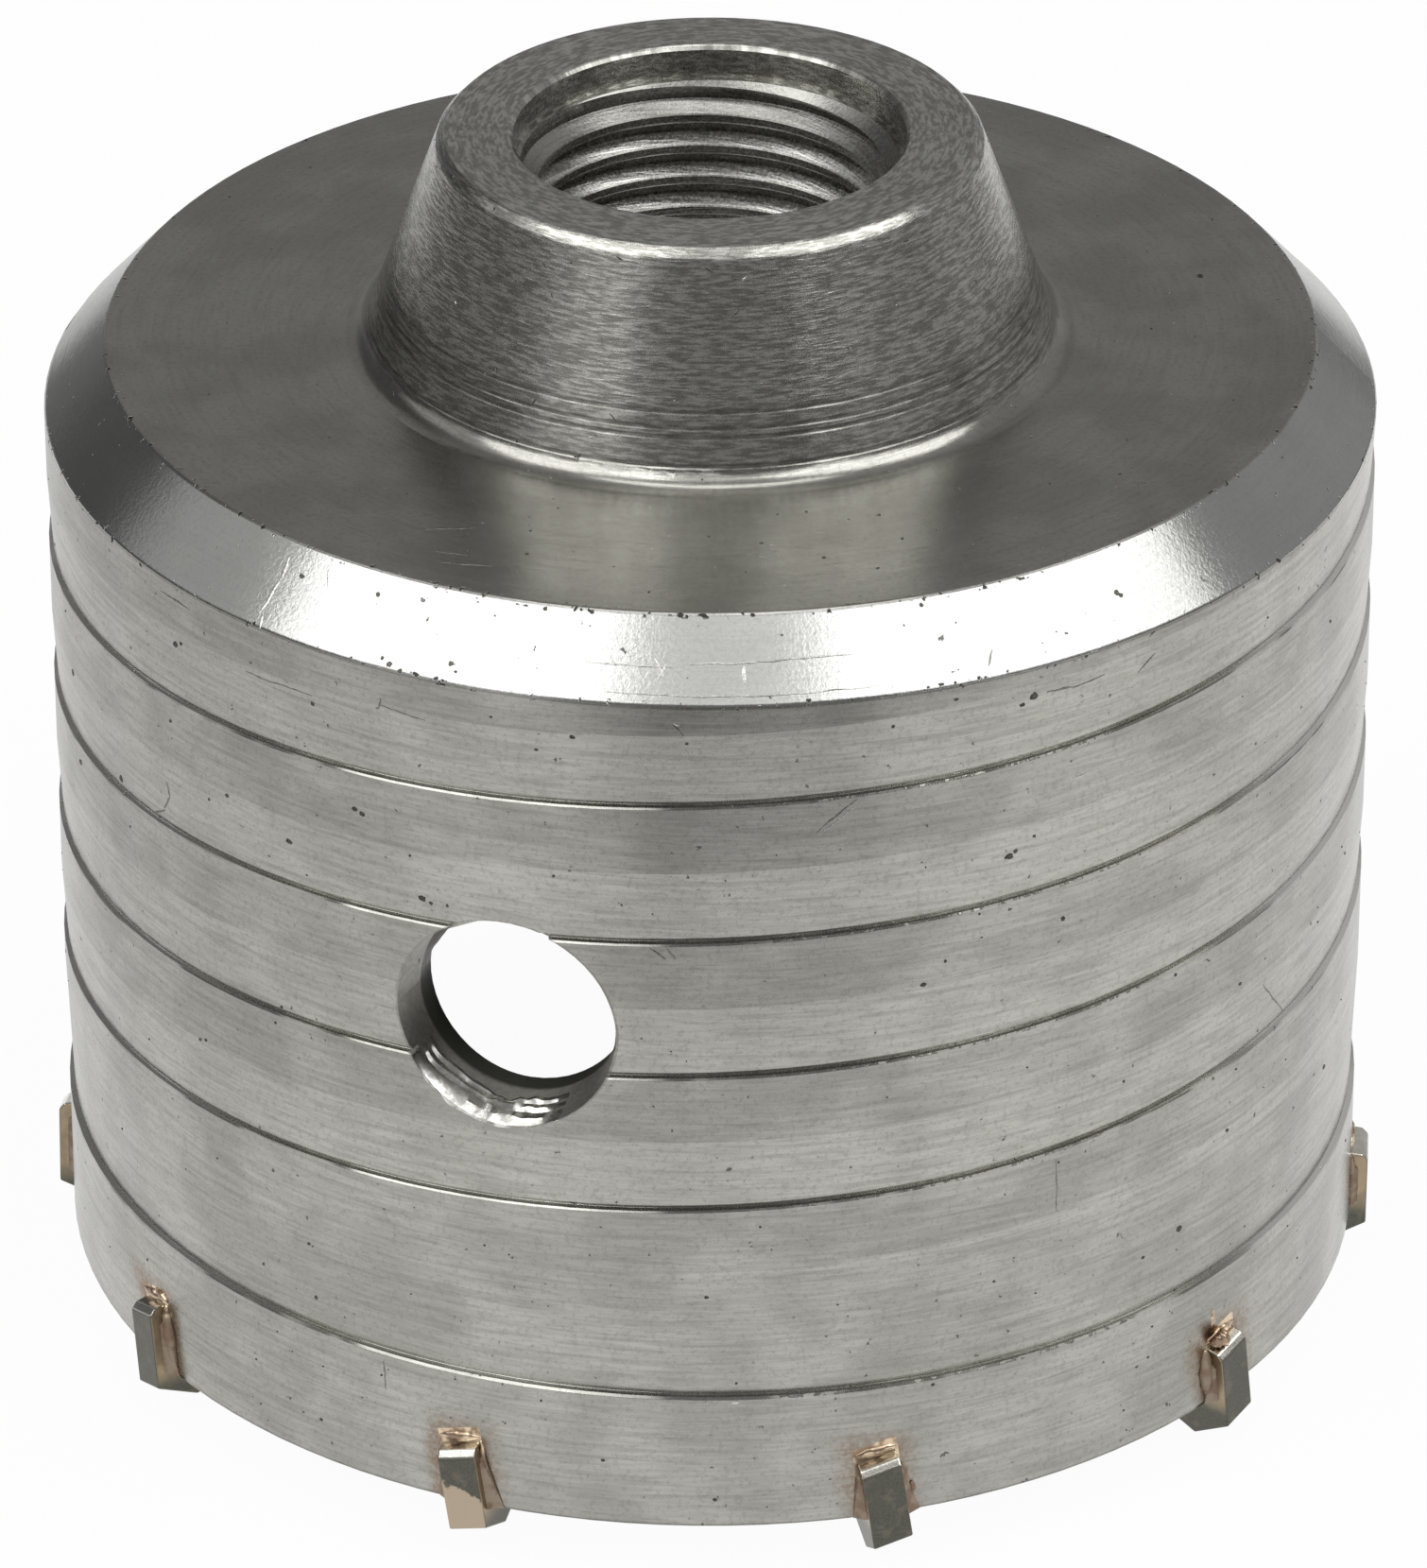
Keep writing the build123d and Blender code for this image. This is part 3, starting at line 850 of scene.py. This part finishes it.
def make_pits(material, chance):
    """Pits in the steel, each a small crater with a rough edge."""
    points, faces = [], []
    for angle, radius, z, size in PITS + scattered_pits(chance):
        centre = polar(angle, radius, z)
        size *= PIT_SCALE
        outward, side = around(centre)
        rise = outward.cross(side)
        stretch = chance.uniform(0.8, 1.5)
        edge = [chance.uniform(0.75, 1.2) for _ in range(CRATER_SIDES)]
        first = len(points)
        for share, lift in CRATER_RINGS[:-1]:
            for number, reach in enumerate(edge):
                turn = 2 * math.pi * number / CRATER_SIDES
                spot = centre + side * (math.cos(turn) * size * reach * share * stretch)
                spot += rise * (math.sin(turn) * size * reach * share)
                points.append(settled(spot, lift))
        points.append(settled(centre, CRATER_RINGS[-1][1]))
        faces += grid(len(CRATER_RINGS) - 1, CRATER_SIDES, first, closed=True)
        last = first + (len(CRATER_RINGS) - 2) * CRATER_SIDES
        for number in range(CRATER_SIDES):
            faces.append((last + number, last + (number + 1) % CRATER_SIDES, len(points) - 1))
    return piece("pits", points, faces, material)


# How far random pits stay from a groove, from the side hole and from the edges, and how large they are
GROOVE_CLEARANCE = 0.6
HOLE_CLEARANCE = 1.0
HOLE_TURN = 12
SMALL_PITS = (0.05, 0.1)
LARGER_PITS = (0.1, 0.17)
PLATE_PITS = (0.05, 0.11)


def scattered_pits(chance):
    """Small pits at random places all round, clear of the grooves, the hole and the tips."""
    marks = []
    while len(marks) < SCATTERED:
        angle, z = chance.uniform(-180, 180), chance.uniform(RIM_Z + 1.0, SHOULDER_Z - 0.5)
        climb = (z - HELIX_Z - PITCH * (angle + 90) / 360) % PITCH
        if min(climb, PITCH - climb) < GROOVE_CLEARANCE or abs(z - RING_Z) < GROOVE_CLEARANCE:
            continue
        if abs(angle - HOLE_ANGLE) < HOLE_TURN and abs(z - HOLE_Z) < HOLE_RADIUS + HOLE_CLEARANCE:
            continue
        sizes = SMALL_PITS if len(marks) % 4 else LARGER_PITS
        marks.append((angle, WALL_RADIUS, z, chance.uniform(*sizes)))
    for _ in range(SCATTERED // 5):
        angle = chance.uniform(-180, 180)
        radius = chance.uniform(HUB_BASE_RADIUS + 3, PLATE_RADIUS - 1)
        marks.append((angle, radius, PLATE_Z, chance.uniform(*PLATE_PITS)))
    return marks


def make_strokes(name, strokes, profile, material, chance):
    """Thin strips along scratches. The profile lists each strip's offsets in half widths and its lifts."""
    points, faces = [], []
    for start, end, width in strokes:
        start, end = polar(*start), polar(*end)
        steps = max(3, int((end - start).length / STROKE_STEP))
        first = len(points)
        drift = 0.0
        for step in range(steps + 1):
            share = step / steps
            spot = start.lerp(end, share)
            reach = math.hypot(spot.x, spot.y)
            target = start.xy.length * (1 - share) + end.xy.length * share
            spot.x, spot.y = spot.x * target / reach, spot.y * target / reach
            outward = around(spot)[0]
            across = outward.cross(end - start).normalized()
            drift += chance.uniform(-0.4, 0.4) * width
            taper = math.sin(math.pi * (0.08 + 0.84 * share)) ** 0.6 * chance.uniform(0.6, 1.1)
            for offset, lift in profile:
                shift = drift + offset * width * taper * STROKE_WIDTH
                points.append(settled(spot + across * shift, lift * taper + STROKE_LIFT))
        faces += grid(steps + 1, len(profile), first)
    return piece(name, points, faces, material)


# The share of flecks that lie near the hub's top edge, and their longest turn and rise
NEAR_TOP = 0.35
FLECK_TURN = 1.6
FLECK_RISE = 0.35


def flecks(chance):
    """Short random scratches and chips on the hub's cone."""
    slope = (HUB_BASE_RADIUS - HUB_TOP_RADIUS) / (HUB_Z - PLATE_Z)
    strokes = []
    for _ in range(FLECKS):
        angle, z = chance.uniform(-180, 180), PLATE_Z + chance.uniform(0.12, 0.96) * (HUB_Z - PLATE_Z)
        if chance.random() < NEAR_TOP:
            z = HUB_Z - chance.uniform(0.6, 1.4)
        turn, rise = chance.uniform(-FLECK_TURN, FLECK_TURN), chance.uniform(-FLECK_RISE, FLECK_RISE)
        heights = z - rise / 2, z + rise / 2
        start, end = [(angle + side * turn / 2, HUB_BASE_RADIUS - slope * (height - PLATE_Z), height)
                      for side, height in zip((-1, 1), heights)]
        strokes.append((start, end, chance.uniform(0.05, 0.1)))
    return strokes


# Widths of the tips' ground edges, how near the front an edge counts as outer, and what counts as level
EDGE_WIDTH = 0.1
TOP_EDGE_WIDTH = 0.34
OUTER_EDGE = 0.7
LEVEL = 0.7
REAL_EDGE = 4.0


def real_edges(shaped):
    """The edges where two faces of a mesh really meet at an angle."""
    return [edge for edge in shaped.edges
            if edge.is_manifold and edge.calc_face_angle() > math.radians(REAL_EDGE)]


def bevel(shaped, edges, width, segments, clamp):
    """Cuts narrow faces along edges, their width in millimetres. Clamped ones never run into each other."""
    bmesh.ops.bevel(shaped, geom=edges, offset=width * MM, segments=segments, affect="EDGES",
                    offset_type="OFFSET", profile=0.5, clamp_overlap=clamp)


def top_front_edge(edges, outward):
    """The highest of the level edges on a tip's outer face."""
    def reach(edge):
        return edge.verts[0].co.dot(outward) + edge.verts[1].co.dot(outward)

    def drop(edge):
        return abs(edge.verts[0].co.z - edge.verts[1].co.z)

    front = max(reach(edge) for edge in edges)
    level = [edge for edge in edges
             if reach(edge) > front - OUTER_EDGE * MM and drop(edge) < edge.calc_length() * LEVEL]
    return max(level, key=lambda edge: edge.verts[0].co.z + edge.verts[1].co.z)


def make_tips(material):
    """The carbide tips with their ground edges: a wide one at the top in front, and fine ones elsewhere."""
    for number in range(TIP_COUNT):
        name = f"tip_{number + 1:02d}"
        outward = polar(FIRST_TIP_ANGLE + 360 / TIP_COUNT * number, 1.0, 0.0)
        shaped = bmesh.new()
        shaped.from_mesh(nodes[name].data)
        bmesh.ops.remove_doubles(shaped, verts=shaped.verts, dist=SAME_CORNER)
        bmesh.ops.dissolve_limit(shaped, angle_limit=math.radians(SAME_FACE), verts=shaped.verts,
                                 edges=shaped.edges)
        bevel(shaped, [top_front_edge(real_edges(shaped), outward)], TOP_EDGE_WIDTH, 1, False)
        bevel(shaped, real_edges(shaped), EDGE_WIDTH, 2, True)
        mesh = bpy.data.meshes.new(f"ground_{name}")
        shaped.to_mesh(mesh)
        shaped.free()
        mesh.materials.append(material)
        made = shown(f"ground_{name}", mesh)
        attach(made, "root")
        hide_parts(name)


def beside_tip(number, side, height, proud):
    """A point in millimetres by a tip: sideways, up from the rim along the tip, and out from the wall."""
    lean = math.radians(TIP_LEAN)
    height -= TIP_SEAT / 2
    across = side * math.cos(lean) - height * math.sin(lean)
    z = side * math.sin(lean) + height * math.cos(lean) + RIM_Z + TIP_SEAT / 2
    out = math.sqrt(WALL_RADIUS ** 2 - across ** 2) + proud
    outward = polar(FIRST_TIP_ANGLE + 360 / TIP_COUNT * number, 1.0, 0.0)
    return outward * out + Vector((-outward.y, outward.x, 0)) * across + Vector((0, 0, z))


# How beads of braze are drawn: points round and along them, how lumpy, how blunt and how flat they are
BEAD_SIDES = 10
BEAD_STEPS = 26
BEAD_LUMPS = 0.3
BEAD_END = 0.02
BEAD_FLATNESS = 0.75
# Beads of braze: start and end beside the tip and up it, then thickness and how far proud. The first is at
# every tip, and the others are listed by the tip's number, from 0.
BEADS = [((-1.25, 4.4), (1.25, 4.4), 0.34, -0.05)]
SIDE_BEADS = {
    0: [((1.5, 0.4), (1.42, 3.2), 0.26, -0.02), ((1.75, 0.9), (1.8, 1.7), 0.2, 0.12)],
    1: [((-1.6, 0.5), (-1.45, 4.0), 0.5, 0.0), ((-1.1, 4.3), (0.15, 4.6), 0.56, 0.6),
        ((-0.6, 5.0), (-0.4, 6.5), 0.18, -0.05)],
    2: [((-1.4, 0.4), (-1.3, 3.8), 0.34, 0.05)],
    5: [((1.4, 0.4), (1.4, 3.5), 0.34, 0.05)],
    7: [((-1.4, 0.4), (-1.3, 3.8), 0.3, 0.05)],
    8: [((1.55, 0.2), (1.4, 4.2), 0.5, 0.02), ((1.7, 4.3), (0.4, 4.9), 0.3, 0.0)],
    9: [((1.35, 0.3), (1.3, 4.2), 0.2, 0.1), ((-1.35, 0.2), (-1.3, 3.6), 0.16, 0.0)],
}


def bead(number, start, end, thick, proud, phase):
    """The rings of points round one bead, in order from its start to its end."""
    length = math.hypot(end[0] - start[0], end[1] - start[1])
    cross = ((end[1] - start[1]) / length, -(end[0] - start[0]) / length)
    points = []
    for step in range(BEAD_STEPS + 1):
        share = step / BEAD_STEPS
        ease = math.sin(math.pi * min(max(share, BEAD_END), 1 - BEAD_END)) ** 0.5
        lump = 1.0 + BEAD_LUMPS * noise.noise(Vector((phase + share * 5.0, 0.3, 1.7)))
        sway = BEAD_LUMPS * thick * noise.noise(Vector((phase + share * 4.0, 5.1, 0.2)))
        side = start[0] + (end[0] - start[0]) * share
        height = start[1] + (end[1] - start[1]) * share
        for corner in range(BEAD_SIDES):
            turn = 2 * math.pi * corner / BEAD_SIDES
            reach = thick * ease * lump
            shift = sway + reach * math.cos(turn)
            points.append(beside_tip(number, side + cross[0] * shift, height + cross[1] * shift,
                                     proud * ease + BEAD_FLATNESS * reach * math.sin(turn)))
    return points


def make_beads(material, chance):
    """Beads of braze that ran out beside and above each tip."""
    for number in range(TIP_COUNT):
        points, faces = [], []
        for start, end, thick, proud in BEADS + SIDE_BEADS.get(number, []):
            first = len(points)
            points += bead(number, start, end, thick, proud, chance.uniform(0, 50))
            faces += grid(BEAD_STEPS + 1, BEAD_SIDES, first, closed=True)
            for ring in (first, first + BEAD_STEPS * BEAD_SIDES):
                faces.append(tuple(ring + corner for corner in range(BEAD_SIDES)))
        piece(f"bead_{number + 1:02d}", points, faces, material)


# The floor's half width in metres, its own colour, and the share of it that is shown plain white
FLOOR_HALF = 6.0
FLOOR_COLOUR = (0.8, 0.8, 0.8, 1.0)
FLOOR_WHITE = 0.96


def seen_directly(graph):
    """1 for rays from the camera and for rays mirrored or let through on their way."""
    rays = graph.node("ShaderNodeLightPath").outputs
    return graph.either(rays["Is Camera Ray"], rays["Is Glossy Ray"], rays["Is Transmission Ray"])


def square(name, half, lift):
    """A level square round the axis, in metres."""
    corners = [(-half, -half, lift), (half, -half, lift), (half, half, lift), (-half, half, lift)]
    return mesh_object(name, corners, [(0, 1, 2, 3)])


def make_floor():
    """A pale floor under the saw, shown white to the camera with the saw's soft shadow."""
    floor = square("floor", FLOOR_HALF, 0)
    material, graph, surface = empty_material("floor")
    pale = graph.node("ShaderNodeBsdfDiffuse", {"Color": FLOOR_COLOUR})
    white = graph.node("ShaderNodeEmission", {"Color": WHITE, "Strength": 1.0})
    share = graph.both(seen_directly(graph), FLOOR_WHITE)
    mixed = graph.node("ShaderNodeMixShader", {0: share, 1: pale.outputs[0], 2: white.outputs[0]})
    graph.join(mixed.outputs[0], surface)
    floor.data.materials.append(material)


# How much the white surround lights the saw, next to how it is seen
FILL_LEVEL = 0.3


def make_world():
    """A white surround for the camera and for reflections, and a softer fill for the rest."""
    world = bpy.data.worlds.new("studio")
    bpy.context.scene.world = world
    world.use_nodes = True
    graph = Graph(world.node_tree)
    strength = graph.mix(seen_directly(graph), FILL_LEVEL, 1.0)
    sky = graph.node("ShaderNodeBackground", {"Color": WHITE, "Strength": strength})
    output = graph.node("ShaderNodeOutputWorld")
    graph.join(sky.outputs[0], output.inputs["Surface"])


def only_reflected(obj):
    """Leaves an object to reflections alone, so that it neither lights nor hides anything."""
    obj.visible_camera = False
    obj.visible_diffuse = False
    obj.visible_transmission = False
    obj.visible_volume_scatter = False
    obj.visible_shadow = False


# The room is a dome with this radius and lift off the floor, in metres
ROOM_RADIUS = 1.5
ROOM_LIFT = 0.002
ROOM_COLUMNS = 48
ROOM_ROWS = 14
# Low parts of the walls: start and end in degrees from the front, to the right, then soft edge and level
LOW_PANELS = [
    (-20.0, 12.0, 8.0, 0.21), (24.0, 46.0, 6.0, 0.1), (-54.0, -30.0, 8.0, 0.5), (-130.0, -72.0, 10.0, 0.11),
]
LOW_LEVEL_END = (22.0, 32.0)
# Higher parts: the same start, end and soft edge, then bottom, top and soft edge above the floor, and level
HIGH_PANELS = [
    (-34.0, 34.0, 10.0, 49.0, 62.0, 6.0, 1.5), (-146.0, -118.0, 10.0, 8.0, 45.0, 10.0, 0.12),
    (-112.0, -88.0, 10.0, 24.0, 60.0, 6.0, 0.62),
]
FRONT_LEVEL = 0.21
BACK_LEVEL = 0.31
RIGHT_BACK_LEVEL = 0.4
TOP_LEVEL = 0.42


def make_room():
    """The studio's own dim walls and ceiling, which bright metal shows between the lamps."""
    points = []
    for row in range(ROOM_ROWS + 1):
        lift = math.pi / 2 * row / ROOM_ROWS
        reach, height = ROOM_RADIUS * math.cos(lift), ROOM_RADIUS * math.sin(lift)
        for column in range(ROOM_COLUMNS):
            points.append(polar(360 * column / ROOM_COLUMNS, reach, height + ROOM_LIFT))
    room = mesh_object("studio_room", points, grid(ROOM_ROWS + 1, ROOM_COLUMNS, closed=True))
    only_reflected(room)
    material, graph, surface = empty_material("studio_room")
    material.cycles.emission_sampling = "NONE"
    place = graph.node("ShaderNodeTexCoord").outputs["Object"]
    x, y, height = graph.separate(graph.vector("NORMALIZE", place))
    turn = graph.both(graph.math("ARCTAN2", x, graph.both(y, -1.0)), 180 / math.pi)
    lift = graph.both(graph.math("ARCSINE", height), 180 / math.pi)
    level = graph.fade(graph.math("ABSOLUTE", turn), 95.0, 130.0, FRONT_LEVEL, BACK_LEVEL)
    level = graph.mix(graph.band(turn, 100.0, 150.0, 10.0), level, RIGHT_BACK_LEVEL)
    low = graph.fade(lift, *LOW_LEVEL_END, 1.0, 0.0)
    for start, end, soft, strength in LOW_PANELS:
        level = graph.mix(graph.both(graph.band(turn, start, end, soft), low), level, strength)
    level = graph.mix(graph.fade(lift, 50.0, 75.0), level, TOP_LEVEL)
    for start, end, soft, bottom, top, blur, strength in HIGH_PANELS:
        panel = graph.both(graph.band(turn, start, end, soft), graph.band(lift, bottom, top, blur))
        level = graph.mix(panel, level, strength)
    glow = graph.node("ShaderNodeEmission", {"Color": WHITE, "Strength": level})
    graph.join(glow.outputs[0], surface)
    room.data.materials.append(material)


# Dark cloth, in metres: how far before the saw it starts, its middle to the right, its half width where it is
# whole and where it ends, and the clear table's radius
CLOTH_NEAR = 0.072
CLOTH_SIDE = 0.018
CLOTH_WHOLE = 0.035
CLOTH_END = 0.13
CLOTH_HALF = 1.4
CLOTH_LIFT = 0.001
CLOTH_LEVEL = 0.12
TABLE_RADIUS = 0.3
TABLE_EDGE = 0.12


def make_cloth():
    """Dark cloth on the floor in front, and all round beyond the table, for the metal to reflect."""
    cloth = square("dark_cloth", CLOTH_HALF, CLOTH_LIFT)
    only_reflected(cloth)
    material, graph, surface = empty_material("dark_cloth")
    material.cycles.emission_sampling = "NONE"
    place = graph.node("ShaderNodeTexCoord").outputs["Object"]
    x, y, _ = graph.separate(place)
    near = -WALL_RADIUS * MM - CLOTH_NEAR
    off_side = graph.math("ABSOLUTE", graph.math("SUBTRACT", x, CLOTH_SIDE))
    wide = graph.fade(off_side, CLOTH_WHOLE, CLOTH_END, 1.0, 0.0)
    front = graph.both(wide, graph.fade(y, near, near - 0.03, 0.0, 1.0))
    left = graph.fade(x, -0.045, -0.09, 0.0, 0.2)
    far = graph.fade(graph.vector("LENGTH", place), TABLE_RADIUS, TABLE_RADIUS + TABLE_EDGE)
    seen = graph.either(front, graph.either(left, far))
    dark = graph.node("ShaderNodeEmission", {"Color": WHITE, "Strength": CLOTH_LEVEL})
    clear = graph.node("ShaderNodeBsdfTransparent")
    mixed = graph.node("ShaderNodeMixShader", {0: seen, 1: clear.outputs[0], 2: dark.outputs[0]})
    graph.join(mixed.outputs[0], surface)
    cloth.data.materials.append(material)


# Soft boxes: azimuth from the front, to the right, and elevation in degrees, width and height in metres,
# and radiance. They stand this far from a point on the axis at this height.
SOFTBOXES = {
    "left_box": (-57, 48, 0.64, 0.5, 2.7),
    "right_box": (66, 48, 0.78, 0.46, 2.7),
    "top_box": (0, 90, 0.5, 0.16, 3.0),
}
LAMP_DISTANCE = 0.8
LAMP_TARGET = Vector((0, 0, 0.04))


def make_lights():
    """Rectangular lamps left, right and overhead that look at the saw."""
    for name, (azimuth, elevation, width, height, radiance) in SOFTBOXES.items():
        data = bpy.data.lights.new(name, "AREA")
        data.shape = "RECTANGLE"
        data.size = width
        data.size_y = height
        data.energy = radiance * math.pi * width * height
        lamp = shown(name, data)
        turn, lift = math.radians(azimuth), math.radians(elevation)
        away = Vector((math.sin(turn) * math.cos(lift), -math.cos(turn) * math.cos(lift), math.sin(lift)))
        lamp.location = LAMP_TARGET + away * LAMP_DISTANCE
        lamp.rotation_mode = "QUATERNION"
        lamp.rotation_quaternion = away.to_track_quat("Z", "Y")


# The same random marks in every run
SEED = 7

make_camera()
steel = turned_steel()
hard = carbide()
brass = braze_metal()
cut_steel = threaded_steel()
pit_steel = worn_metal("dull_steel", (64, 62, 57), (104, 102, 95))
scratch_steel = worn_metal("scuffed_steel", (112, 110, 104), (152, 150, 143))
dress_nodes(steel, brass, hard)
make_thread(cut_steel)
make_hole_lip(torn_steel())
# The burrs are real, and their dark pit steel also paints the shade at the side hole's inner edge.
make_hole_burrs(pit_steel)
make_tips(hard)
chance = random.Random(SEED)
make_beads(brass, chance)
make_pits(pit_steel, chance)
make_strokes("gouges", DARK_STROKES, GOUGE_PROFILE, scratch_steel, chance)
make_strokes("burrs", BRIGHT_STROKES, BURR_PROFILE, cut_steel, chance)
marks = flecks(chance)
make_strokes("bright_flecks", marks[::2], BURR_PROFILE, cut_steel, chance)
make_strokes("dark_flecks", marks[1::2], GOUGE_PROFILE, pit_steel, chance)
make_floor()
make_world()
make_room()
make_cloth()
make_lights()

bpy.context.scene.view_settings.view_transform = "Standard"
